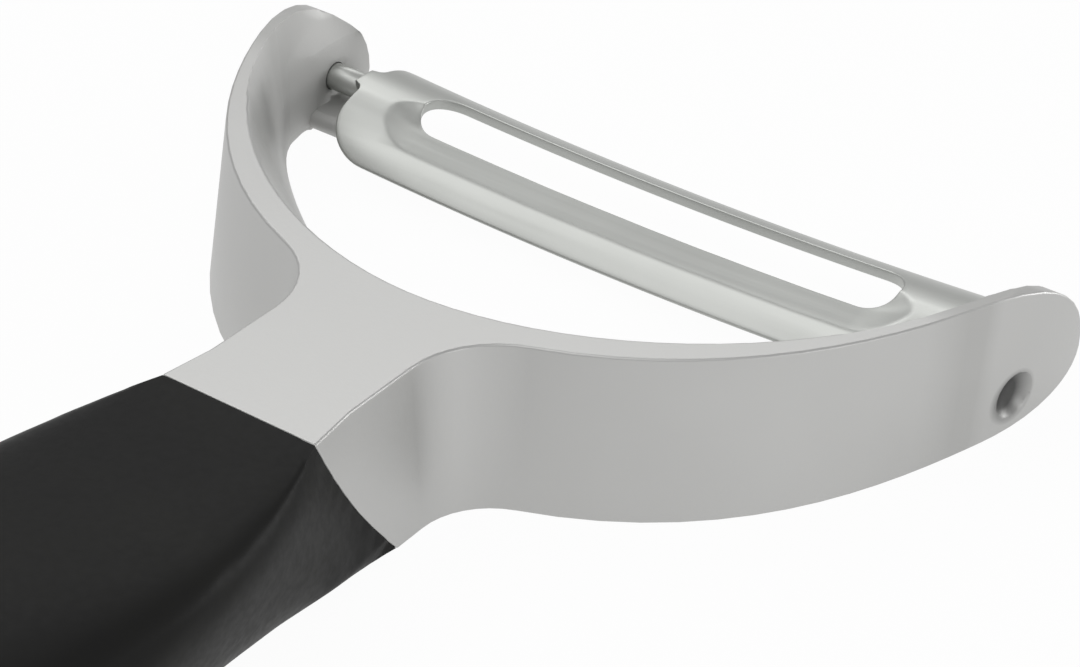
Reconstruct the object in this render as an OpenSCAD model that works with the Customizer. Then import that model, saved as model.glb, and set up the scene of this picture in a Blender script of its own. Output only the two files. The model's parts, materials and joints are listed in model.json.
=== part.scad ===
// Vegetable peeler with a cast fork head and a swivelling slotted blade.
// The handle runs along X with the head towards +X, and the top face looks up.
// The part lies on the head's underside and the handle's belly, at Z = 0.

/* [Head] */
// Reach of the head, from the seam on its top to the arm tips
head_len = 56; // [50:1:62]
// Overall width across the two arms
head_w = 70; // [62:1:80]
// Depth of the casting, top face to underside
head_depth = 12.7; // [12:0.1:15]
// Width of the neck's top face at the seam with the handle
neck_root_w = 12.8; // [11:0.1:15]
// Narrowest width of the neck's top face
neck_waist_w = 11.7; // [10:0.1:13]
// How far each neck side spreads outwards towards the underside
neck_flare = 1.6; // [0.4:0.1:2.2]
// Length of the neck, from the seam to the root fillets
neck_len = 11.1; // [10:0.1:13]
// Radius of the fillets that join the neck to the arms
root_r = 7.8; // [6:0.1:8.5]
// Angle through which those fillets turn
root_turn = 67; // [62:1:72]
// Where the fork's opening starts, at the top face
crown_x = 18.6; // [17:0.1:21]
// How far the crown's inner face runs forward from top to underside
crown_lean = 6.4; // [3:0.1:8]
// Thickness of an arm where it meets the tip boss
arm_t = 1.4; // [1.1:0.1:2]
// Length over which the top face rounds down to the arm tip
tip_drop_len = 14; // [11:0.5:17]
// Height of the arm tip's foremost point above the underside
tip_z = 4; // [3:0.1:6]
// Length over which the underside rounds up to the arm tip
tip_rise_len = 11; // [8:0.5:14]
// Thickness of the boss that carries the pivot, at the arm tip
boss_t = 4; // [3.6:0.1:4.8]
// Length of the boss face, back from the arm tip
boss_len = 7.4; // [6.4:0.1:8]
// Length of the ramp from the boss face to the arm's inner wall
boss_ramp = 3.4; // [2:0.1:5]
// Height of the boss face's upper edge above the underside
boss_h = 8; // [7:0.1:9]
// Height of the boss face's lower edge above the underside
boss_foot = 1.6; // [0.8:0.1:2.2]

/* [Swivel] */
// Distance from the arm tips back to the pivot axis
pivot_inset = 4.5; // [4:0.1:5]
// Depth of the pivot axis below the top face
pivot_drop = 7.75; // [7:0.05:8.2]
// Radius of the blade's journals
journal_r = 1.15; // [0.9:0.05:1.3]
// Radial clearance of a journal in its bore
journal_gap = 0.06; // [0.02:0.01:0.1]
// Gap between a journal's end and the bottom of its bore
journal_float = 0.4; // [0.2:0.05:0.8]
// Depth of the blind pivot bores
bore_depth = 2.6; // [2:0.1:2.9]
// Countersink at the mouth of a pivot bore
bore_sink = 0.45; // [0.1:0.05:0.6]
// Distance from the pivot axis down to the middle of a stop lug
stop_drop = 2.55; // [2.3:0.05:2.9]
// Radius of a stop lug's rounded ends
stop_r = 0.85; // [0.6:0.05:1]
// Distance from the pivot axis to the middle of a stop lug's end
stop_half = 3.1; // [2.4:0.1:3.3]
// How far a stop lug reaches in beneath the blade
stop_reach = 0.8; // [0.4:0.1:2]
// Depth of the dimple on the outer face behind each stop lug
dimple_depth = 0.8; // [0.3:0.05:0.9]
// Width of that dimple
dimple_w = 3.8; // [3.4:0.1:5.4]
// Height of the dimple's middle above the middle of the stop lug
dimple_lift = 0.7; // [0:0.1:1]

/* [Blade] */
// Gap between each end edge of the blade and the boss beside it
blade_gap = 3.4; // [2.4:0.1:4.4]
// Thickness of the blade's sheet steel
blade_t = 0.9; // [0.6:0.05:1]
// Outside radius of the blade's arched section
arch_r = 9.5; // [9:0.1:12]
// Reach of the rear strip from the pivot axis
blade_rear = 7.2; // [6.4:0.1:7.8]
// Reach of the front strip from the pivot axis
blade_front = 5.2; // [4.6:0.1:6.4]
// Rise of the blade's ends above its middle
blade_bow = 0.95; // [0.4:0.05:1.4]
// Distance from the blade's end edge to the end of the peeling slot
slot_end = 5.6; // [4:0.1:9]
// Width of the peeling slot
slot_w = 4.8; // [4.2:0.1:5.4]
// Width of the bevel ground along the slot's rear edge
bevel_w = 2.8; // [1.5:0.1:3]
// Thickness left at the ground edge
edge_land = 0.12; // [0.05:0.01:0.3]
// How much shorter the bevel is at its rear than along the slot, at each end
bevel_runout = 2.15; // [1:0.05:4]
// How far the bevel stops short of each slot end
bevel_short = 0.95; // [0.4:0.05:2]
// Corner radius of the rear strip
rear_corner_r = 3.4; // [1.5:0.1:3.6]
// Corner radius of the front strip
front_corner_r = 0.9; // [0.4:0.1:1.6]
// Radius of the fillets that lead from the blade's end into a journal
neck_fillet_r = 0.9; // [0.5:0.1:1.4]

/* [Handle] */
// Length of the handle, from the seam on its top to its end
handle_len = 112; // [98:1:126]
// Widest width of the handle
handle_w = 24.8; // [21:0.2:28]
// Width of the handle near its end
handle_end_w = 19; // [16:0.5:22]
// How far the underside swells out beyond the neck's width
low_swell = 1.1; // [0.4:0.1:2]
// Length over which it swells
swell_len = 6; // [4:0.5:12]
// Distance from the seam to the widest place
belly_x = 20; // [16:1:34]
// How far the handle's top rises above the head's top face
handle_rise = 2.4; // [0:0.1:4]
// How far the seam leans forward from top to underside
seam_lean = 8.2; // [4:0.1:9]
// How far the seam bows back from a straight line
seam_bow = 0.55; // [0.3:0.05:1]
// Length over which the top's side edges round off
round_top_len = 18; // [12:1:34]
// Length over which the underside's side edges round off
round_low_len = 9; // [6:1:20]
// Length over which the handle's cross-sections turn upright behind the leaning seam
fade_len = 30; // [24:1:46]
// Length of the rounded end of the handle
end_len = 12; // [9:0.5:15]
// Radius of the hanging hole
hang_r = 3; // [2:0.1:3.6]
// Distance from the end of the handle to the middle of the hanging hole
hang_inset = 10; // [9:0.1:13]

/* [Inside the handle] */
// Length of the tang, from the seam
tang_len = 62; // [44:1:68]
// Width of the tang
tang_w = 7.6; // [6:0.1:8]
// Height of the tang
tang_h = 4.6; // [3.6:0.1:5.2]
// Radius of the locking holes through the tang
lock_r = 1.6; // [1:0.1:2.1]
// Number of locking holes
lock_count = 3; // [2:1:4]
// Distance from the seam to the front of the hard core
core_start = 12; // [9:0.5:16]
// Thickness of the grip's skin over the core, where the handle is slimmest
grip_skin = 2.2; // [1.4:0.1:2.6]
// Wall left between the core and the hanging hole
core_end_wall = 5; // [3:0.5:8]

/* [Hidden] */
$fn = 64;
overrun = 1;
half_w = head_w / 2;
pivot_x = head_len - pivot_inset;
pivot_z = head_depth - pivot_drop;
part_shift = (handle_len - head_len) / 2;

// Shape of the head's curves, as shares of the spans that they cross
outer_rise_share = 0.81;
outer_run_share = 0.21;
outer_flat_share = 0.15;
inner_rise_share = 0.42;
inner_run_share = 0.585;
inner_dip_share = 0.1;
low_rise_share = 0.21;
low_run_share = 0.26;
waist_share = 0.4;
tip_top_share = 0.68;
tip_front_share = 0.45;
tip_low_share = 0.5;
flare_fade_share = 0.48;
curve_steps = 22;
fillet_steps = 8;
tip_steps = 10;

// A point on a cubic curve with the control points p
function curve_at(p, t) =
    p[0] * pow(1 - t, 3) + 3 * p[1] * pow(1 - t, 2) * t + 3 * p[2] * (1 - t) * t * t + p[3] * pow(t, 3);
function curve(p, steps) = [for (i = [0 : steps]) curve_at(p, i / steps)];
// From 0 to 1, with a soft start and end, as v goes from a to b
function ease(v, a, b) =
    let (u = min(1, max(0, (v - a) / (b - a))))
    u * u * (3 - 2 * u);
// The same path on the other side of the middle plane, walked backwards
function mirrored(path) = [for (i = [len(path) - 1 : -1 : 0]) [path[i][0], -path[i][1]]];
// Unit normal of a path at its point i, pointing to its left
function path_normal(path, i) =
    let (a = path[max(0, i - 1)], b = path[min(len(path) - 1, i + 1)], d = (b - a) / norm(b - a))
    [-d[1], d[0]];

// Outer edge of the head's left half at the top face, from the seam to the arm tip
fillet_start = [neck_len, neck_waist_w / 2];
function fillet_at(a) = fillet_start + root_r * [sin(a), 1 - cos(a)];
outer_span = [head_len, half_w] - fillet_at(root_turn);
outer_top = concat(
    [[-2 * overrun, neck_root_w / 2], [0, neck_root_w / 2], [neck_len * waist_share, neck_waist_w / 2]],
    [for (i = [0 : fillet_steps - 1]) fillet_at(root_turn * i / fillet_steps)],
    curve([
        fillet_at(root_turn),
        fillet_at(root_turn) + [outer_span[0] * outer_run_share, outer_span[1] * outer_rise_share],
        [head_len - outer_span[0] * outer_flat_share, half_w],
        [head_len, half_w]], curve_steps));
function outer_y(x) = lookup(x, outer_top);

// The same edge at the underside, spread outwards along the neck
function flare_at(x) = neck_flare * (1 - ease(x, neck_len + root_r, neck_len + root_r + flare_fade_share * head_len));
outer_low = [for (i = [0 : len(outer_top) - 1])
    outer_top[i] + path_normal(outer_top, i) * flare_at(outer_top[i][0])];

// Inner edge of the opening's left half, from the boss back to the crown
boss_face_y = half_w - boss_t;
boss_back_x = head_len - boss_len;
inner_end_x = boss_back_x - boss_ramp / 4;
inner_end = [inner_end_x, outer_y(inner_end_x) - arm_t];
function inner_edge(front, rise_share, run_share, dip_share) = concat(
    [[head_len + overrun, half_w - arm_t]],
    curve([
        inner_end,
        [inner_end[0] - (inner_end[0] - front) * run_share, inner_end[1] * (1 - dip_share)],
        [front, inner_end[1] * rise_share],
        [front, 0]], curve_steps));
inner_top = inner_edge(crown_x, inner_rise_share, inner_run_share, inner_dip_share);
inner_low = inner_edge(crown_x + crown_lean, low_rise_share, low_run_share, 0);

// Seam between the neck and the grip: a cylinder across the part, with its axis in front of it
seam_chord = norm([seam_lean, head_depth]);
seam_r = seam_chord * seam_chord / (8 * seam_bow) + seam_bow / 2;
seam_axis = [seam_lean, head_depth] / 2 + [head_depth, seam_lean] / seam_chord * (seam_r - seam_bow);
function seam_x(z) = seam_axis[0] - sqrt(seam_r * seam_r - pow(z - seam_axis[1], 2));

module in_part() {
    translate([part_shift, 0, 0]) children();
}

// A profile drawn in X and Z, extruded across the whole width
module across(width) {
    rotate([90, 0, 0])
        translate([0, 0, -width / 2])
            linear_extrude(width) children();
}

module both_sides() {
    children();
    mirror([0, 1, 0]) children();
}

module seam_solid(grow = 0) {
    translate([seam_axis[0], 0, seam_axis[1]])
        rotate([90, 0, 0])
            cylinder(r = seam_r + grow, h = head_w, center = true, $fn = 360);
}

// Everything behind the seam, as far as the head reaches into it
module behind_seam() {
    difference() {
        translate([-3 * overrun, -half_w, -overrun])
            cube([seam_lean + 4 * overrun, head_w, head_depth + 2 * overrun]);
        seam_solid();
    }
}

// Prism whose outline changes evenly from the underside to the top, capped round the point at hub_x
module leaning_prism(low, top, hub_x, reach = 0) {
    n = len(top);
    ends = [-reach, head_depth + reach];
    points = concat(
        [for (z = ends, i = [0 : n - 1])
            let (p = low[i] + (top[i] - low[i]) * z / head_depth)
            [p[0], p[1], z]],
        [for (z = ends) [hub_x, 0, z]]);
    faces = [for (i = [0 : n - 1])
        let (j = (i + 1) % n)
        each [[i, j, n + j], [i, n + j, n + i], [2 * n, j, i], [2 * n + 1, n + i, n + j]]];
    polyhedron(points, faces, convexity = 4);
}

// A left half's outline and its mirror image, walked clockwise seen from above
function whole(path) = concat(path, mirrored([for (p = path) if (p[1] > 0) p]));
function turned(path) = [for (i = [len(path) - 1 : -1 : 0]) path[i]];

// Fork with leaning walls
module fork() {
    difference() {
        leaning_prism(whole(outer_low), whole(outer_top), crown_x + crown_lean + root_r);
        leaning_prism(turned(whole(inner_low)), turned(whole(inner_top)), pivot_x, overrun);
    }
}

// Side view that rounds the arm tips
module tip_profile() {
    nose = [head_len, tip_z];
    drop = head_depth - tip_z;
    polygon(concat(
        [[-4 * overrun, 0]],
        curve([
            [head_len - tip_rise_len, 0],
            [head_len - tip_rise_len * tip_low_share, 0],
            [head_len, tip_z * (1 - tip_top_share)],
            nose], tip_steps),
        [for (i = [1 : tip_steps]) curve_at([
            nose,
            [head_len, tip_z + drop * tip_front_share],
            [head_len - tip_drop_len * (1 - tip_top_share), head_depth],
            [head_len - tip_drop_len, head_depth]], i / tip_steps)],
        [[-4 * overrun, head_depth]]));
}

// Boss that thickens the arm tip round the pivot, on the left arm
module tip_boss() {
    ramp_x = boss_back_x - boss_ramp;
    ramp_y = outer_y(ramp_x) - arm_t;
    wall = half_w - arm_t / 2;
    intersection() {
        translate([0, 0, -overrun])
            linear_extrude(head_depth + 2 * overrun)
                polygon([
                    [boss_back_x, boss_face_y], [head_len + 2 * overrun, boss_face_y],
                    [head_len + 2 * overrun, wall], [boss_back_x, outer_y(boss_back_x) - arm_t / 2],
                    [ramp_x, ramp_y + arm_t / 2], [ramp_x, ramp_y]]);
        rotate([90, 0, 90])
            linear_extrude(head_len + overrun)
                polygon([
                    [boss_face_y, boss_foot], [wall, arm_t / 4],
                    [wall, head_depth - arm_t / 4], [boss_face_y, boss_h]]);
    }
}

// Lug beneath the blade's end that stops the swivel both ways, on the left arm
module stop_lug() {
    inner = blade_half - stop_reach;
    translate([pivot_x, 0, pivot_z - stop_drop])
        rotate([-90, 0, 0])
            translate([0, 0, inner])
                linear_extrude(outer_y(pivot_x - stop_half) - arm_t / 2 - inner) {
                    translate([-stop_half, -stop_r]) square([2 * stop_half, 2 * stop_r]);
                    for (side = [-1, 1])
                        translate([side * stop_half, 0]) circle(stop_r);
                }
}

// Blind bore with its countersunk mouth, cut into the left boss
module pivot_bore() {
    translate([pivot_x, boss_face_y, pivot_z])
        rotate([-90, 0, 0]) {
            translate([0, 0, -overrun]) cylinder(r = bore_r, h = bore_depth + overrun);
            cylinder(r1 = bore_r + bore_sink, r2 = bore_r, h = bore_sink);
            translate([0, 0, -stop_reach]) cylinder(r = bore_r + bore_sink, h = stop_reach);
        }
}

module dimple() {
    ball_r = (dimple_w * dimple_w / 4 + dimple_depth * dimple_depth) / (2 * dimple_depth);
    x = pivot_x - stop_half - stop_r;
    translate([x, outer_y(x) + ball_r - dimple_depth, pivot_z - stop_drop + dimple_lift])
        sphere(ball_r);
}

// Bar that carries the handle, with holes that the core is moulded through
module tang() {
    difference() {
        translate([-tang_len, -tang_w / 2, (head_depth - tang_h) / 2])
            cube([tang_len + seam_lean + 2 * overrun, tang_w, tang_h]);
        for (i = [0 : lock_count - 1])
            translate([-core_start - (tang_len - core_start) * (i + 0.5) / lock_count, 0, 0])
                cylinder(r = lock_r, h = head_depth);
    }
}

module head_frame() {
    color("silver")
        in_part() {
            difference() {
                intersection() {
                    union() {
                        fork();
                        both_sides() {
                            tip_boss();
                            stop_lug();
                        }
                    }
                    across(head_w + 2 * overrun) tip_profile();
                }
                behind_seam();
                both_sides() {
                    pivot_bore();
                    dimple();
                }
            }
            tang();
        }
}

// Blade, in the plane through the pivot axis: its section, ends, slot and bevel
bore_r = journal_r + journal_gap;
blade_half = boss_face_y - blade_gap;
blade_tip = blade_half + neck_fillet_r;
bow_r = (blade_half * blade_half + blade_bow * blade_bow) / (2 * blade_bow);
crown_z = pivot_z + journal_r - blade_bow;
slot_half = blade_half - slot_end;
function arch_z(x, r) = sqrt(r * r - x * x) - arch_r;

// Sweeps a section drawn in X and Z along the blade's shallow bow
module along_bow(reach) {
    turn = asin(reach / bow_r);
    translate([pivot_x, 0, crown_z + bow_r])
        rotate([0, 90, 0])
            rotate(-turn)
                rotate_extrude(angle = 2 * turn, $fn = 1440)
                    translate([bow_r, 0])
                        rotate(90)
                            children();
}

module arch_section() {
    rear = asin(blade_rear / arch_r);
    front = asin(blade_front / arch_r);
    far = 2 * arch_r;
    translate([0, -arch_r])
        intersection() {
            difference() {
                circle(arch_r, $fn = 180);
                circle(arch_r - blade_t, $fn = 180);
            }
            polygon([[0, 0], far * [-sin(rear), cos(rear)], [0, far], far * [sin(front), cos(front)]]);
        }
}

// Cutting section above the ground bevel, from the sheet's top face down to its edge
module bevel_section() {
    back = [-slot_w / 2 - bevel_w, arch_z(slot_w / 2 + bevel_w, arch_r)];
    edge = [-slot_w / 2, arch_z(slot_w / 2, arch_r - blade_t) + edge_land];
    next = [overrun - slot_w / 2, arch_z(slot_w / 2 - overrun, arch_r - blade_t) + edge_land];
    way = (edge - back) / norm(edge - back) * overrun;
    clear = [0, blade_t + overrun];
    polygon([back - way, edge, next, next + clear, back - way + clear]);
}

module blade_outline() {
    translate([-blade_rear - overrun, -blade_half])
        square([blade_rear + overrun, 2 * blade_half]);
    translate([-blade_rear, -blade_tip])
        square([blade_rear + blade_front - front_corner_r, 2 * blade_tip]);
    translate([0, front_corner_r - blade_half])
        square([blade_front, 2 * (blade_half - front_corner_r)]);
    for (side = [-1, 1])
        translate([blade_front - front_corner_r, side * (blade_half - front_corner_r)]) circle(front_corner_r);
}

// Rounds the rear strip's left corner, square to the arched sheet there
corner_lead = 0.02;
module rear_corner_cut() {
    turn = asin((blade_rear - rear_corner_r / 2) / arch_r);
    edge = arch_r * sin(asin(blade_rear / arch_r) - turn);
    start = rear_corner_r - corner_lead;
    translate([pivot_x, 0, crown_z - arch_r])
        rotate([0, -turn, 0])
            linear_extrude(2 * arch_r)
                difference() {
                    translate([-edge - overrun, blade_half - start])
                        square(start + overrun);
                    translate([start - edge, blade_half - start]) circle(rear_corner_r);
                }
}

// What is cut away beside a journal's neck, on the side where X grows
module neck_notch() {
    reach = max(blade_rear, blade_front);
    translate([journal_r + neck_fillet_r, blade_half]) square([reach, neck_fillet_r + overrun]);
    translate([journal_r + neck_fillet_r, blade_half + neck_fillet_r]) circle(neck_fillet_r);
}

module slot_outline() {
    round_y = slot_half - slot_w / 2;
    translate([-slot_w / 2, -round_y]) square([slot_w, 2 * round_y]);
    for (side = [-1, 1])
        translate([0, side * round_y]) circle(slot_w / 2);
}

// Plan of the ground stretch, which runs out at a slant by each slot end
module bevel_outline() {
    slant = bevel_runout / bevel_w;
    near = slot_half - bevel_short + slant * slot_w / 2;
    back = slot_w / 2 + bevel_w + overrun;
    far = near - slant * back;
    polygon([[0, -near], [0, near], [-back, far], [-back, -far]]);
}

// Drops a plan shape through the blade at the pivot axis
module through_blade() {
    translate([pivot_x, 0, crown_z - arch_r])
        linear_extrude(2 * arch_r) children();
}

module journal() {
    translate([pivot_x, blade_half, pivot_z])
        rotate([-90, 0, 0])
            cylinder(r = journal_r, h = blade_gap + bore_depth - journal_float);
}

module swivel_blade() {
    color("gainsboro")
        in_part() {
            difference() {
                along_bow(blade_tip) arch_section();
                through_blade()
                    difference() {
                        translate([-2 * arch_r, -half_w]) square([4 * arch_r, head_w]);
                        difference() {
                            blade_outline();
                            for (x = [0, 1], y = [0, 1])
                                mirror([x, 0]) mirror([0, y]) neck_notch();
                        }
                    }
                both_sides() rear_corner_cut();
                through_blade() slot_outline();
                intersection() {
                    along_bow(slot_half + overrun) bevel_section();
                    through_blade() bevel_outline();
                }
            }
            both_sides() journal();
        }
}

// Handle: rings that change from the neck's section into an oval, each s behind the seam
ring_steps = 8;
grip_steps = 26;
sharp = 0.004;
oval_power = 2.3;
end_fill_share = 0.99;
body_share = 0.8;
even_share = 0.5;
rise_share = 1.7;
crowding = 1.3;
mid_z = head_depth / 2;
root_half = neck_root_w / 2;
low_half = outer_y(seam_lean) + neck_flare;
function neck_half(z) = outer_y(seam_x(z)) + neck_flare * (1 - z / head_depth);
function handle_half(s) =
    s < belly_x
        ? root_half + (handle_w / 2 - root_half) * sin(90 * s / belly_x)
        : handle_w / 2 - (handle_w - handle_end_w) / 2 * pow((s - belly_x) / (handle_len - belly_x), 2);
function handle_low_half(s) =
    let (neck = low_half + low_swell * ease(s, 0, swell_len))
    neck + (handle_half(s) - neck) * ease(s, 2 * swell_len, even_share * handle_len);
function handle_top(s) = head_depth + handle_rise * ease(s, 0, rise_share * belly_x);
function end_round(s) =
    let (u = max(0, (s - handle_len + end_len) / end_len))
    sqrt(1 - pow(min(u, 1) * end_fill_share, 2));
// Between two widths, from v = -1 at the underside to v = 1 at the top
function between(low, top, v) = (low * (1 - v) + top * (1 + v)) / 2;
// The neck is hollow-sided, so it is narrower than a straight line from its top to its underside
function neck_dip(z, v) = between(low_half, root_half, v) - neck_half(z);
// A square with its corners rounded more and more with s, first those underneath
function ring_reach(s, a) =
    let (p = oval_power / max(sharp, 1 - exp(-s / (sin(a) > 0 ? round_top_len : round_low_len))))
    pow(pow(abs(cos(a)), p) + pow(abs(sin(a)), p), -1 / p);
function handle_point(s, a) =
    let (r = ring_reach(s, a), v = r * sin(a), v_seam = sin(a) / max(abs(sin(a)), abs(cos(a))))
    let (z_seam = mid_z * (1 + v_seam), high = handle_top(s) / 2, k = end_round(s))
    let (half = between(handle_low_half(s), handle_half(s), v))
    let (dip = neck_dip(z_seam, v_seam) * (1 - ease(s, 0, belly_x / 2)))
    let (x = seam_x(z_seam) * (1 - ease(s, 0, fade_len)) - s)
    [x, k * r * cos(a) * (half - dip), high + k * v * high];

// Ring angles, closer together at the corners
ring_angles = [for (q = [0 : 3], i = [0 : ring_steps - 1])
    let (u = 2 * i / ring_steps - 1)
    90 * q + 45 * (1 + sign(u) * pow(abs(u), crowding)) - 90];

// Stations along the handle: closer together at the seam and round its end
function station(i) =
    let (u = i / grip_steps, v = (u - body_share) / (1 - body_share))
    v < 0 ? (handle_len - end_len) * pow(u / body_share, crowding) : handle_len - end_len * (1 - sin(90 * v));

module handle_loft() {
    n = len(ring_angles);
    rings = concat([-overrun], [for (i = [1 : grip_steps]) station(i)]);
    points = [for (s = rings, a = ring_angles) handle_point(s, a)];
    sides = [for (r = [0 : len(rings) - 2], i = [0 : n - 1])
        let (j = (i + 1) % n, p = r * n)
        each [[p + i, p + j, p + n + j], [p + i, p + n + j, p + n + i]]];
    last = (len(rings) - 1) * n;
    caps = [[for (i = [n - 1 : -1 : 0]) i], [for (i = [0 : n - 1]) last + i]];
    polyhedron(points, concat(sides, caps), convexity = 4);
}

// Hard core: a flat bar with round sides, moulded round the tang
core_half = min(handle_half(core_start), handle_end_w / 2) - grip_skin;
core_h = head_depth - 2 * grip_skin;
core_end = handle_len - hang_inset - hang_r - core_end_wall;
module core_bar() {
    translate([-core_end, 0, mid_z])
        rotate([90, 0, 90])
            linear_extrude(core_end - core_start) {
                square([2 * core_half - core_h, core_h], center = true);
                for (side = [-1, 1])
                    translate([side * (core_half - core_h / 2), 0]) circle(core_h / 2);
            }
}

module handle_core() {
    color("dimgray")
        in_part()
            difference() {
                core_bar();
                tang();
            }
}

module handle_grip() {
    color("black")
        in_part()
            difference() {
                handle_loft();
                seam_solid();
                core_bar();
                tang();
                translate([hang_inset - handle_len, 0, -overrun])
                    cylinder(r = hang_r, h = handle_top(handle_len) + 2 * overrun);
            }
}

head_frame();
swivel_blade();
handle_core();
handle_grip();
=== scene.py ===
import json
import math

import bmesh
import bpy
from mathutils import Matrix, Vector


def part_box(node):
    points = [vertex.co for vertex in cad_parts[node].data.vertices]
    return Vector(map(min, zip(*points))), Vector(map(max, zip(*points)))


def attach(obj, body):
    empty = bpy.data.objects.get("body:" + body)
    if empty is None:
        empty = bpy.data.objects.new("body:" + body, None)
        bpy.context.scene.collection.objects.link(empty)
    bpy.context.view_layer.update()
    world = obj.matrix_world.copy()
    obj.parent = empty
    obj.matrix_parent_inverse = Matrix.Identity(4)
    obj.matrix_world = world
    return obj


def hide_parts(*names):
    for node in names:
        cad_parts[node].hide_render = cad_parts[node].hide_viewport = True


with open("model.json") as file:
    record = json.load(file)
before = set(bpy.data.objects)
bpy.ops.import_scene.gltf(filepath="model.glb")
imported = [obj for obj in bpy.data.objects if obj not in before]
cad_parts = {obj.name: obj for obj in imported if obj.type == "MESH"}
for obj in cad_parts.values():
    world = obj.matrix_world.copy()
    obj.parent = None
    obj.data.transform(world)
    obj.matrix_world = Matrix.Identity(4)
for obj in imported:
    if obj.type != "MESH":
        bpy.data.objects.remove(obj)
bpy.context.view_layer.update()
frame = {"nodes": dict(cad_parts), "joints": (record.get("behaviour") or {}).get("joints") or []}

# Sizes are in millimetres, and MM turns them into the scene's metres
MM = 0.001

# The photograph, in pixels, and the camera that fits it: its place, and its turn in degrees
PHOTO_WIDTH = 1080
FOCAL_PIXELS = 2989.84
SENSOR_WIDTH = 36.0
CAMERA_AT = (-96.488, -100.440, 123.750)
CAMERA_AZIMUTH = 32.0
CAMERA_ELEVATION = 33.088
CAMERA_ROLL = -4.2604

# The swivel's axis and the arms' outermost face, from the frame
PIVOT_X, _, PIVOT_Z = (metres / MM for metres in frame["joints"][0]["pos_m"])
ARM_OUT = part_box("head_frame")[1][1] / MM

# The journals, and the bores and dimples in the arms' outer faces, where shade is painted into the
# casting's colour
JOURNAL_R = 1.15
BORE_R = JOURNAL_R + 0.06
BORE_IN = ARM_OUT - 5.0
BORE_OUT = ARM_OUT - 0.9
DIMPLE_X = PIVOT_X - 3.75
DIMPLE_Z = PIVOT_Z - 1.85
DIMPLE_R = 2.4
DIMPLE_CORE_R = 1.2
DIMPLE_IN = ARM_OUT - 2.4

# The blade: an arched sheet, bowed along its length, with a round-ended slot
BLADE_HALF = ARM_OUT - 7.4
BLADE_BOW = 0.95
BOW_R = (BLADE_HALF ** 2 + BLADE_BOW ** 2) / (2 * BLADE_BOW)
CROWN_Z = PIVOT_Z + JOURNAL_R - BLADE_BOW
SHEET = 0.9
ARCH_R = 9.5
REAR_CORNER = 4.3
FRONT_CORNER = 0.9
NECK_FILLET = 0.9
SLOT_R = 2.4
SLOT_STRAIGHT = BLADE_HALF - 8.0

# The ground stretch behind the slot: where it starts, its slope, and where it runs out towards the ends
GRIND_BACK = 5.2
GRIND_SLOPE = 0.153
GRIND_END = SLOT_STRAIGHT + 0.5

# How far the blade's edges are rounded, and the shares of that rounding at which its points lie
EDGE_R = 0.13
ROUNDING = (0, 0.1, 0.35, 0.65)

# How finely the blade's sheet is divided: along its straight stretch, round each end, and across
STRAIGHT_STEPS = 56
END_STEPS = 76
ACROSS_STEPS = 26
JOURNAL_SIDES = 40

# The casting's copy: the distance at which its points are merged, its rims' radius,
# and the angles from which an edge is rounded, and is shaded as sharp
CAST_MERGE = 0.03
RIM_R = 0.2
RIM_ANGLE = math.radians(24)
SHARP_ANGLE = math.radians(32)

# The arms' inner tips: where they start, from where their points may move, the grid that they
# are cut into, and the place of the small step in the boss face
INNER_START = PIVOT_X - 21.5
SOFT_START = PIVOT_X - 18.0
TIP_GRID = 0.55
BOSS_STEP = PIVOT_X - 6.3

# The angles between which the grip's edges turn from smooth to sharp, in degrees
GRIP_SMOOTH = 14
GRIP_SHARP = 62


def placed(name, shape):
    """A new object in the scene with the shape of a bmesh."""
    mesh = bpy.data.meshes.new(name)
    shape.to_mesh(mesh)
    shape.free()
    made = bpy.data.objects.new(name, mesh)
    bpy.context.collection.objects.link(made)
    return made


def node_copy(node, name, merge):
    """A copy of a CAD node, and the copy's mesh merged by distance and open for editing."""
    copy = bpy.data.objects.new(name, frame["nodes"][node].data.copy())
    bpy.context.collection.objects.link(copy)
    shape = bmesh.new()
    shape.from_mesh(copy.data)
    bmesh.ops.remove_doubles(shape, verts=shape.verts, dist=merge * MM)
    return copy, shape


def finished(made, *finishes):
    """Gives an object its materials, in order, in place of those that it has."""
    made.data.materials.clear()
    for finish in finishes:
        made.data.materials.append(finish)


def material(name, metallic=0.0):
    """A new material and its shader, with the default output kept."""
    made = bpy.data.materials.new(name)
    made.use_nodes = True
    shader = made.node_tree.nodes["Principled BSDF"]
    shader.inputs["Metallic"].default_value = metallic
    return made, made.node_tree, shader


def place_pattern(tree, stretch=(1, 1, 1)):
    """Object coordinates, stretched, so that a pattern stays on its piece."""
    coords = tree.nodes.new("ShaderNodeTexCoord")
    mapping = tree.nodes.new("ShaderNodeMapping")
    mapping.inputs["Scale"].default_value = stretch
    tree.links.new(coords.outputs["Object"], mapping.inputs["Vector"])
    return mapping.outputs["Vector"]


def noise(tree, vector, scale, detail=3.0):
    """Soft noise that follows a vector."""
    node = tree.nodes.new("ShaderNodeTexNoise")
    node.inputs["Scale"].default_value = scale
    node.inputs["Detail"].default_value = detail
    node.inputs["Roughness"].default_value = 0.55
    tree.links.new(vector, node.inputs["Vector"])
    return node.outputs["Fac"]


def spread(tree, value, low, high, start=0.3, end=0.7):
    """A number that goes from low to high while a value goes from start to end."""
    node = tree.nodes.new("ShaderNodeMapRange")
    for name, number in (("From Min", start), ("From Max", end), ("To Min", low), ("To Max", high)):
        node.inputs[name].default_value = number
    tree.links.new(value, node.inputs["Value"])
    return node.outputs["Result"]


def two_colours(tree, value, dark, light):
    """A colour between dark and light that follows a value."""
    ramp = tree.nodes.new("ShaderNodeValToRGB")
    for element, position, colour in zip(ramp.color_ramp.elements, (0.32, 0.68), (dark, light)):
        element.position = position
        element.color = (*colour, 1)
    tree.links.new(value, ramp.inputs["Fac"])
    return ramp.outputs["Color"]


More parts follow.
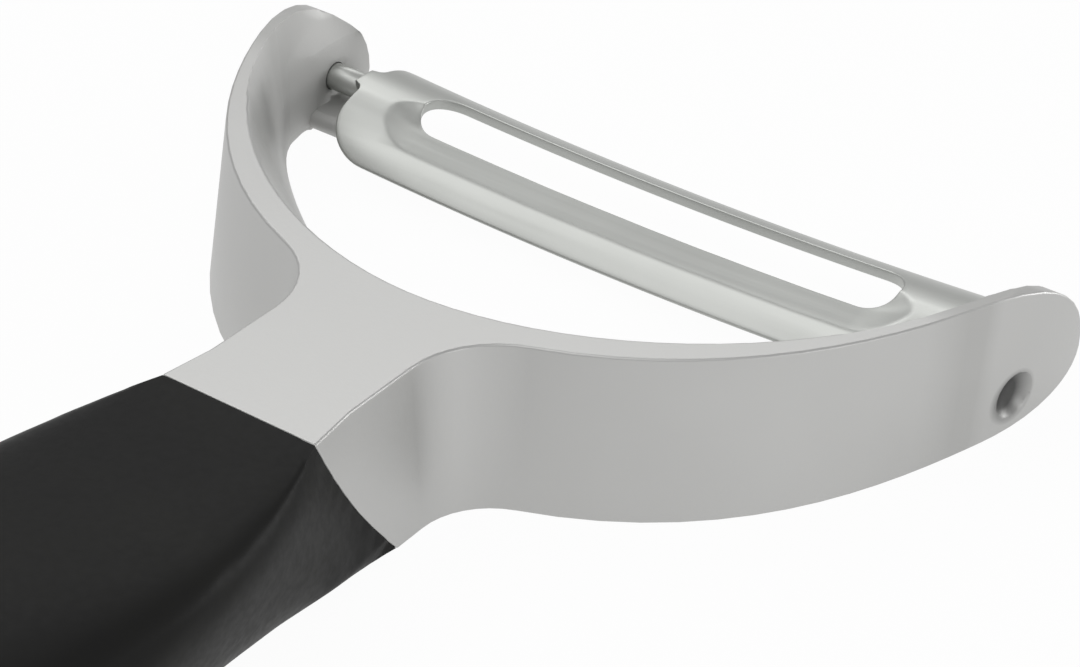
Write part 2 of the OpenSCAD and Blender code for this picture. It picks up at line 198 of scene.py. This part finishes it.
def dimmed(tree, colour, share):
    """A colour times a share."""
    node = tree.nodes.new("ShaderNodeVectorMath")
    node.operation = "SCALE"
    tree.links.new(colour, node.inputs[0])
    tree.links.new(share, node.inputs["Scale"])
    return node.outputs["Vector"]


def relief(tree, shader, height, distance, strength):
    """Fine relief in a shader's surface."""
    bump = tree.nodes.new("ShaderNodeBump")
    bump.inputs["Strength"].default_value = strength
    bump.inputs["Distance"].default_value = distance * MM
    tree.links.new(height, bump.inputs["Height"])
    tree.links.new(bump.outputs["Normal"], shader.inputs["Normal"])


def maths(tree, operation, first, second=0.0):
    """A sum on two values, each a socket or a plain number."""
    node = tree.nodes.new("ShaderNodeMath")
    node.operation = operation
    for socket, value in zip(node.inputs, (first, second)):
        if isinstance(value, float):
            socket.default_value = value
        else:
            tree.links.new(value, socket)
    return node.outputs[0]


def millimetres(tree):
    """A point's x, distance from the middle plane, and z, in millimetres."""
    parts = tree.nodes.new("ShaderNodeSeparateXYZ")
    tree.links.new(place_pattern(tree, [1 / MM] * 3), parts.inputs["Vector"])
    return parts.outputs["X"], maths(tree, "ABSOLUTE", parts.outputs["Y"]), parts.outputs["Z"]


def painted_pit_darkening(tree, place, middle, core, rim, low, inner, outer):
    """Painted shade: 1 on open metal, and low in a round pit's core, between two distances from the middle
    plane.
    """
    fade = 0.1
    x, out, z = place
    across = maths(tree, "SUBTRACT", x, middle[0])
    up = maths(tree, "SUBTRACT", z, middle[1])
    reach = maths(tree, "SQRT", maths(
        tree, "ADD", maths(tree, "MULTIPLY", across, across), maths(tree, "MULTIPLY", up, up)))
    shade = spread(tree, reach, low, 1.0, core, rim)
    shade = maths(tree, "MAXIMUM", shade, spread(tree, out, 1.0, 0.0, inner - fade, inner))
    return maths(tree, "MAXIMUM", shade, spread(tree, out, 0.0, 1.0, outer, outer + fade))


def painted_pit_shade(tree):
    """Painted shade: 1 on open metal, and lower inside the dimples and the bores, where it darkens the
    casting's colour.
    """
    place = millimetres(tree)
    dimple = painted_pit_darkening(
        tree, place, (DIMPLE_X, DIMPLE_Z), DIMPLE_CORE_R, DIMPLE_R, 0.18, DIMPLE_IN, ARM_OUT + 1.0)
    bore = painted_pit_darkening(tree, place, (PIVOT_X, PIVOT_Z), BORE_R, BORE_R + 0.02, 0.10, BORE_IN, BORE_OUT)
    return maths(tree, "MINIMUM", dimple, bore)


def inner_tip(tree, level):
    """The level on the arm tips' inner sides, where the blade leaves no room to polish, and 0 elsewhere."""
    x, out, _ = millimetres(tree)
    along = spread(tree, x, 0.0, level, PIVOT_X - 19.5, PIVOT_X - 9.5)
    inward = spread(tree, out, 1.0, 0.0, ARM_OUT - 2.5, ARM_OUT - 1.2)
    return maths(tree, "MULTIPLY", along, inward)


def cast_metal():
    """Fine satin casting, blasted and lightly tumbled, with painted shade in its dimples and bores."""
    made, tree, shader = material("cast_metal_satin", metallic=1.0)
    at = place_pattern(tree)
    clouds = noise(tree, at, 45)
    metal = two_colours(tree, clouds, (0.545, 0.545, 0.535), (0.585, 0.585, 0.575))
    dullness = maths(tree, "MAXIMUM", spread(tree, clouds, 0.40, 0.46), inner_tip(tree, 0.68))
    # The casting's colour is darkened by painted shade in the dimples and bores
    tree.links.new(dimmed(tree, metal, painted_pit_shade(tree)), shader.inputs["Base Color"])
    tree.links.new(dullness, shader.inputs["Roughness"])
    relief(tree, shader, noise(tree, at, 2600, 2), 0.02, 0.35)
    return made


def rim_metal_painted_highlight():
    """The casting's rims, rubbed smoother than its faces, with a painted highlight: a much brighter colour
    than the faces'.
    """
    made, tree, shader = material("cast_metal_rim_painted_highlight", metallic=1.0)
    clouds = noise(tree, place_pattern(tree), 300)
    # Painted highlight: the rims' colour is far brighter than the faces'
    metal = two_colours(tree, clouds, (0.86, 0.86, 0.85), (0.95, 0.95, 0.94))
    tree.links.new(metal, shader.inputs["Base Color"])
    tree.links.new(spread(tree, clouds, 0.30, 0.42), shader.inputs["Roughness"])
    return made


def ground_painted_shade(tree):
    """Painted shade: 1 on the sheet, and lower on the stretch that was ground for the cutting edge, which
    darkens that stretch's colour.
    """
    x, out, _ = millimetres(tree)
    behind = spread(tree, x, 1.0, 0.0, PIVOT_X - GRIND_BACK - 0.2, PIVOT_X - GRIND_BACK + 0.2)
    before = spread(tree, x, 0.0, 1.0, PIVOT_X - SLOT_R + 0.2, PIVOT_X - 0.5)
    beyond = spread(tree, out, 0.0, 1.0, GRIND_END + 0.1, GRIND_END + 3.1)
    away = maths(tree, "MAXIMUM", maths(tree, "MAXIMUM", behind, before), beyond)
    # The painted shade's depth: the ground stretch keeps 0.66 of the sheet's colour
    return spread(tree, away, 0.66, 1.0, 0.0, 1.0)


def blade_steel():
    """Satin sheet steel, with the fine lines of its grinding along the blade, and painted shade on its
    ground stretch.
    """
    made, tree, shader = material("blade_steel_satin", metallic=1.0)
    lines = noise(tree, place_pattern(tree, (900, 14, 900)), 1, 2)
    clouds = noise(tree, place_pattern(tree), 60)
    metal = two_colours(tree, clouds, (0.51, 0.52, 0.50), (0.55, 0.56, 0.54))
    # Painted shade darkens the colour of the ground stretch
    tree.links.new(dimmed(tree, metal, ground_painted_shade(tree)), shader.inputs["Base Color"])
    tree.links.new(spread(tree, lines, 0.33, 0.44), shader.inputs["Roughness"])
    relief(tree, shader, lines, 0.012, 0.4)
    return made


def soft_grip():
    """Smooth dark elastomer with a soft shine."""
    made, tree, shader = material("soft_grip_dark")
    at = place_pattern(tree)
    grain = noise(tree, at, 1500, 2)
    rubber = two_colours(tree, noise(tree, at, 60), (0.012, 0.012, 0.012), (0.015, 0.015, 0.014))
    tree.links.new(rubber, shader.inputs["Base Color"])
    tree.links.new(spread(tree, grain, 0.36, 0.44), shader.inputs["Roughness"])
    shader.inputs["Specular IOR Level"].default_value = 0.08
    relief(tree, shader, grain, 0.02, 0.25)
    return made


def core_plastic():
    """Plain dark plastic, hidden in the handle."""
    made, tree, shader = material("core_plastic_plain")
    clouds = noise(tree, place_pattern(tree), 80)
    plastic = two_colours(tree, clouds, (0.09, 0.09, 0.09), (0.12, 0.12, 0.12))
    tree.links.new(plastic, shader.inputs["Base Color"])
    shader.inputs["Roughness"].default_value = 0.5
    return made


def near_pivot(edge):
    """Whether an edge belongs to a bore, lug or dimple at an arm's tip."""
    arm_in, reach = ARM_OUT - 10.0, 2.9
    middle = (edge.verts[0].co + edge.verts[1].co) / (2 * MM)
    return abs(middle.y) > arm_in and math.hypot(middle.x - PIVOT_X, middle.z - PIVOT_Z) < reach


def faces_inward(face):
    """Whether a face belongs to the inner wall, ramp or boss of an arm's outer half."""
    middle = face.calc_center_median() / MM
    normal = face.normal
    if abs(middle.x - BOSS_STEP) < 0.05 and abs(normal.x) > 0.9:
        return True
    turned_in = abs(normal.y) > 0.1 and normal.y * middle.y < 0
    return turned_in and middle.x > INNER_START and abs(middle.y) > ARM_OUT - 15.0


def cut_inner_tips(shape, way, start, stop):
    """Cuts the arms' inner tips across one direction, at even steps."""
    for step in range(math.ceil((stop - start) / TIP_GRID)):
        faces = [face for face in shape.faces if faces_inward(face)]
        edges = {edge for face in faces for edge in face.edges}
        verts = {vert for face in faces for vert in face.verts}
        bmesh.ops.bisect_plane(
            shape, geom=[*faces, *edges, *verts], dist=0.01 * MM,
            plane_co=Vector(way) * (start + step * TIP_GRID) * MM, plane_no=way)


def pulls(vert, verts):
    """The neighbours that pull on a point, with their weights: the nearer, the stronger."""
    near = []
    for edge in vert.link_edges:
        other = edge.other_vert(vert)
        if other in verts:
            gap = math.hypot(other.co.x - vert.co.x, other.co.z - vert.co.z)
            near.append((other, 1 / max(gap, 0.02 * MM)))
    total = sum(weight for _, weight in near)
    return [(other, weight / total) for other, weight in near]


def soften_bosses(shape):
    """Lets boss, ramp and wall flow into each other at the arms' inner tips, with their rims held still."""
    cut_inner_tips(shape, (1, 0, 0), PIVOT_X - 19.5, PIVOT_X + 4.1)
    cut_inner_tips(shape, (0, 0, 1), 0.9, 12.4)
    faces = {face for face in shape.faces if faces_inward(face)}
    verts = {vert for face in faces for vert in face.verts}
    sliver = 0.02 * MM ** 2
    free = [
        (vert, pulls(vert, verts)) for vert in verts if vert.co.x >= SOFT_START * MM
        and all(face in faces or face.calc_area() < sliver for face in vert.link_faces)]
    for _ in range(110):
        aims = [sum(other.co.y * weight for other, weight in near) for _, near in free]
        for (vert, _), aim in zip(free, aims):
            vert.co.y += 0.7 * (aim - vert.co.y)
    shape.normal_update()


def cast_head():
    """The casting with rounded rims, rubbed smoother and given a painted highlight, and soft bosses."""
    copy, shape = node_copy("head_frame", "cast_head", CAST_MERGE)
    bmesh.ops.dissolve_degenerate(shape, edges=shape.edges, dist=CAST_MERGE * MM)
    bmesh.ops.dissolve_limit(
        shape, angle_limit=math.radians(0.4), verts=shape.verts, edges=shape.edges, delimit=set())
    rims = [
        edge for edge in shape.edges
        if len(edge.link_faces) == 2 and edge.calc_face_angle(0) > RIM_ANGLE and not near_pivot(edge)
        and not all(faces_inward(face) for face in edge.link_faces)]
    made = bmesh.ops.bevel(
        shape, geom=rims, offset=RIM_R * MM, affect="EDGES", segments=3, profile=0.5, material=-1,
        clamp_overlap=False)
    # The rounded rims take the second material, with its painted highlight
    for face in made["faces"]:
        face.material_index = 1
    soften_bosses(shape)
    for face in shape.faces:
        face.smooth = True
    for edge in shape.edges:
        if len(edge.link_faces) == 2 and edge.calc_face_angle(0) > SHARP_ANGLE:
            edge.smooth = False
    shape.to_mesh(copy.data)
    shape.free()
    finished(copy, cast_metal(), rim_metal_painted_highlight())
    smooth = copy.modifiers.new("even_shading", "WEIGHTED_NORMAL")
    smooth.keep_sharp = True
    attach(copy, "handle")
    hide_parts("head_frame")


def arch_length(x):
    """The length of the sheet's arch from its crown to a place across the blade."""
    return ARCH_R * math.asin(x / ARCH_R)


def arch_height(x):
    """The height of the sheet's top at a place across the blade, from its crown."""
    return math.sqrt(ARCH_R ** 2 - x * x) - ARCH_R


# The blade's edges on the flattened sheet, measured from its crown, and its journals' ends
REAR, FRONT = (arch_length(corner[0] / MM - PIVOT_X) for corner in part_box("swivel_blade"))
JOURNAL_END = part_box("swivel_blade")[1][1] / MM


def in_outline(u, y):
    """Whether a point of the flattened sheet's end lies inside its outline."""
    if u < REAR or u > FRONT:
        return False
    if y <= BLADE_HALF:
        for corner, radius in ((REAR + REAR_CORNER, REAR_CORNER), (FRONT - FRONT_CORNER, FRONT_CORNER)):
            past = corner - u if corner < 0 else u - corner
            if past > 0 and y > BLADE_HALF - radius:
                return math.hypot(past, y - BLADE_HALF + radius) <= radius
        return True
    tip = BLADE_HALF + NECK_FILLET
    neck = JOURNAL_R + NECK_FILLET
    if y > tip or abs(u) >= neck:
        return False
    return abs(u) <= JOURNAL_R or math.hypot(neck - abs(u), tip - y) >= NECK_FILLET


def rim_point(turn):
    """The outline's point seen from the slot's round end at a turn from the rear side."""
    near, far = 0.0, 16.0
    for _ in range(40):
        half = (near + far) / 2
        if in_outline(-math.cos(turn) * half, SLOT_STRAIGHT + math.sin(turn) * half):
            near = half
        else:
            far = half
    return -math.cos(turn) * near, SLOT_STRAIGHT + math.sin(turn) * near


def slot_point(turn):
    """The point of the slot's round end at a turn from the rear side."""
    return arch_length(-SLOT_R * math.cos(turn)), SLOT_STRAIGHT + SLOT_R * math.sin(turn)


def blade_columns():
    """Pairs of an outline point and its slot point on the flattened sheet, once round the blade."""
    straight = [SLOT_STRAIGHT * (2 * i / STRAIGHT_STEPS - 1) for i in range(STRAIGHT_STEPS + 1)]
    turns = [math.pi * i / END_STEPS for i in range(1, END_STEPS)]
    end = [(rim_point(turn), slot_point(turn)) for turn in turns]
    far_end = [((u, -y), (slot_u, -slot_y)) for (u, y), (slot_u, slot_y) in reversed(end)]
    rear = [((REAR, y), (arch_length(-SLOT_R), y)) for y in straight]
    front = [((FRONT, y), (arch_length(SLOT_R), y)) for y in reversed(straight)]
    return rear + end + front + far_end


def ground_depth(x, y):
    """How far the ground face lies below the sheet's top; its runs end in a slow curve."""
    wave = 0.05 * math.sin(0.55 * y + 0.6) + 0.03 * math.sin(1.31 * y)
    end_rise = 0.052 * max(0.0, abs(y) - GRIND_END) ** 2
    lip_rise = 0.12 * max(0.0, x + SLOT_R) ** 2
    ground = arch_height(GRIND_BACK) + GRIND_SLOPE * (x + GRIND_BACK + wave) + end_rise + lip_rise
    gap = arch_height(x) - ground
    soft = 0.05
    return 0.5 * (gap + math.sqrt(gap * gap + soft * soft)) if gap > -1.0 else 0.0


def sheet_rows(length, slot_r):
    """The share of the way from outline to slot at each point, with its edge's radius and rounding."""
    start, stop = EDGE_R / length, 1 - slot_r / length
    rows = [(start * share, EDGE_R, share) for share in ROUNDING]
    rows += [(start + (stop - start) * i / ACROSS_STEPS, 0, 1) for i in range(ACROSS_STEPS + 1)]
    return rows + [(1 - slot_r * share / length, slot_r, share) for share in reversed(ROUNDING)]


def sheet_point(u, y, along, drop, under):
    """A point of the sheet's top or underside from its place on the flattened sheet."""
    sine = math.sin(u / ARCH_R)
    x = ARCH_R * sine
    if under:
        x -= sine * SHEET * (1 - along)
        z = math.sqrt((ARCH_R - SHEET) ** 2 - x * x) - ARCH_R + drop
    else:
        z = arch_height(x) - ground_depth(x, y) - drop
    bow = BOW_R - math.sqrt(BOW_R ** 2 - y * y)
    return (PIVOT_X + x) * MM, y * MM, (CROWN_Z + bow + z) * MM


def sheet_column(shape, rim, slot, under):
    """The points of the sheet's top or underside from its outline to its slot, with both edges rounded."""
    thickness = SHEET - ground_depth(ARCH_R * math.sin(slot[0] / ARCH_R), slot[1])
    slot_r = min(EDGE_R, 0.4 * max(thickness, 0.02))
    column = []
    for along, radius, share in sheet_rows(math.dist(rim, slot), slot_r):
        u, y = (start + (stop - start) * along for start, stop in zip(rim, slot))
        drop = radius * (1 - math.sqrt(max(0.0, 1 - (1 - share) ** 2)))
        column.append(shape.verts.new(sheet_point(u, y, along, drop, under)))
    return column


def add_sheet(shape):
    """The sheet's top, underside, outer edge and slot edge."""
    pairs = blade_columns()
    top, bottom = ([sheet_column(shape, *pair, under) for pair in pairs] for under in (False, True))
    for i in range(len(pairs)):
        j = (i + 1) % len(pairs)
        for k in range(len(top[i]) - 1):
            shape.faces.new((top[i][k], top[j][k], top[j][k + 1], top[i][k + 1]))
            shape.faces.new((bottom[i][k + 1], bottom[j][k + 1], bottom[j][k], bottom[i][k]))
        shape.faces.new((top[j][0], top[i][0], bottom[i][0], bottom[j][0]))
        shape.faces.new((top[i][-1], top[j][-1], bottom[j][-1], bottom[i][-1]))


def add_journal(shape, side):
    """A round journal on one side, from inside the sheet's neck to its rounded end."""
    turns = [2 * math.pi * i / JOURNAL_SIDES for i in range(JOURNAL_SIDES)]
    rings = []
    for y, radius in (
            (BLADE_HALF + 0.05, 0.7), (BLADE_HALF + 0.4, JOURNAL_R), (JOURNAL_END - 0.2, JOURNAL_R),
            (JOURNAL_END - 0.05, JOURNAL_R - 0.06), (JOURNAL_END, JOURNAL_R - 0.2)):
        rings.append([shape.verts.new((
            (PIVOT_X + radius * math.cos(turn)) * MM, side * y * MM,
            (PIVOT_Z + radius * math.sin(turn)) * MM)) for turn in turns])
    for one, two in zip(rings, rings[1:]):
        for i in range(JOURNAL_SIDES):
            j = (i + 1) % JOURNAL_SIDES
            shape.faces.new((one[i], one[j], two[j], two[i]))
    shape.faces.new(rings[0])
    shape.faces.new(list(reversed(rings[-1])))


def slotted_blade():
    """Arched sheet with its peeling slot, soft ground bevel, rounded edges and journals."""
    shape = bmesh.new()
    add_sheet(shape)
    for side in (-1, 1):
        add_journal(shape, side)
    bmesh.ops.recalc_face_normals(shape, faces=shape.faces)
    for face in shape.faces:
        face.smooth = True
    made = placed("slotted_blade", shape)
    finished(made, blade_steel())
    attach(made, "blade")
    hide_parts("swivel_blade")


def grip_cover():
    """The grip's rings as quads, subdivided, with its front corners as sharp as the neck's."""
    copy, shape = node_copy("handle_grip", "grip_cover", 0.01)
    bmesh.ops.join_triangles(
        shape, faces=shape.faces, angle_face_threshold=math.radians(30),
        angle_shape_threshold=math.radians(180))
    crease = shape.edges.layers.float.new("crease_edge")
    for face in shape.faces:
        face.smooth = True
    for edge in shape.edges:
        if len(edge.link_faces) == 2:
            angle = math.degrees(edge.calc_face_angle(0))
            edge[crease] = min(1.0, max(0.0, (angle - GRIP_SMOOTH) / (GRIP_SHARP - GRIP_SMOOTH)))
            edge.smooth = angle < GRIP_SHARP
    shape.to_mesh(copy.data)
    shape.free()
    finished(copy, soft_grip())
    finer = copy.modifiers.new("finer", "SUBSURF")
    finer.levels = finer.render_levels = 2
    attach(copy, "handle")
    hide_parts("handle_grip")


def camera():
    """The camera that sees the part as the photograph does."""
    azimuth, elevation, roll = (math.radians(a) for a in (CAMERA_AZIMUTH, CAMERA_ELEVATION, CAMERA_ROLL))
    level = math.cos(elevation)
    ahead = Vector((math.cos(azimuth) * level, math.sin(azimuth) * level, -math.sin(elevation)))
    right = Vector((math.sin(azimuth), -math.cos(azimuth), 0))
    down = ahead.cross(right)
    across = right * math.cos(roll) + down * math.sin(roll)
    below = down * math.cos(roll) - right * math.sin(roll)
    turn = Matrix((across, -below, -ahead)).transposed().to_4x4()
    data = bpy.data.cameras.new("photo_camera")
    data.sensor_width = SENSOR_WIDTH
    data.lens = FOCAL_PIXELS / PHOTO_WIDTH * SENSOR_WIDTH
    data.clip_start = 5 * MM
    data.clip_end = 20
    made = bpy.data.objects.new("photo_camera", data)
    made.matrix_world = Matrix.Translation(Vector(CAMERA_AT) * MM) @ turn
    bpy.context.collection.objects.link(made)
    bpy.context.scene.camera = made


def ray_share(tree, seen, mirrored):
    """How much of the plain white a camera ray, and a glossy or transmission ray, is given."""
    path = tree.nodes.new("ShaderNodeLightPath")
    given = maths(tree, "MULTIPLY", path.outputs["Is Camera Ray"], seen)
    for ray in ("Is Glossy Ray", "Is Transmission Ray"):
        given = maths(tree, "ADD", given, maths(tree, "MULTIPLY", path.outputs[ray], mirrored))
    return given


def floor_paint():
    """Pale paint that reads as white to the camera and keeps a faint shadow, more of it in the metal."""
    made, tree, shader = material("pale_floor_paint")
    shader.inputs["Base Color"].default_value = (0.9, 0.9, 0.9, 1)
    shader.inputs["Roughness"].default_value = 0.9
    shader.inputs["Specular IOR Level"].default_value = 0.1
    white = tree.nodes.new("ShaderNodeEmission")
    white.inputs["Color"].default_value = (1, 1, 1, 1)
    white.inputs["Strength"].default_value = 1.0
    mix = tree.nodes.new("ShaderNodeMixShader")
    tree.links.new(ray_share(tree, 0.96, 0.65), mix.inputs["Fac"])
    tree.links.new(shader.outputs["BSDF"], mix.inputs[1])
    tree.links.new(white.outputs["Emission"], mix.inputs[2])
    tree.links.new(mix.outputs["Shader"], tree.nodes["Material Output"].inputs["Surface"])
    return made


def floor():
    """A wide plain floor, just below the part."""
    shape = bmesh.new()
    bmesh.ops.create_grid(shape, x_segments=1, y_segments=1, size=3.0)
    made = placed("pale_floor", shape)
    made.location.z = -0.02 * MM
    finished(made, floor_paint())


def lamp(name, at, size, power):
    """An area lamp that faces the head, with its place and size in metres and its power in watts."""
    data = bpy.data.lights.new(name, "AREA")
    data.shape = "RECTANGLE"
    data.size, data.size_y = size
    data.energy = power
    made = bpy.data.objects.new(name, data)
    made.location = at
    aim = Vector((0.03, 0, 0)) - Vector(at)
    made.rotation_euler = aim.to_track_quat("-Z", "Y").to_euler()
    bpy.context.collection.objects.link(made)


def studio_air():
    """Even light from all round, which the camera sees as white."""
    world = bpy.data.worlds.new("studio_air")
    bpy.context.scene.world = world
    world.use_nodes = True
    tree = world.node_tree
    air = tree.nodes["Background"]
    air.inputs["Color"].default_value = (1, 1, 1, 1)
    level = 0.42
    extra = maths(tree, "MULTIPLY", ray_share(tree, 1.0, 0.15), 1.0 - level)
    tree.links.new(maths(tree, "ADD", extra, level), air.inputs["Strength"])


def light():
    """Large soft panels above, and two small strips low down for the walls and the grip's side."""
    studio_air()
    lamp("right_panel", (0.76, 0.50, 0.84), (1.0, 0.46), 1.95)
    lamp("left_panel", (-0.30, 0.53, 1.03), (1.1, 0.9), 2.8)
    lamp("top_panel", (-0.60, -0.30, 1.00), (0.9, 0.9), 1.7)
    lamp("front_strip", (-0.03, -0.62, 0.12), (0.16, 0.2), 0.28)
    lamp("side_strip", (0.54, -0.34, 0.10), (0.24, 0.2), 0.6)


cast_head()
slotted_blade()
grip_cover()
finished(frame["nodes"]["handle_core"], core_plastic())
camera()
floor()
light()
bpy.context.scene.view_settings.view_transform = "Standard"
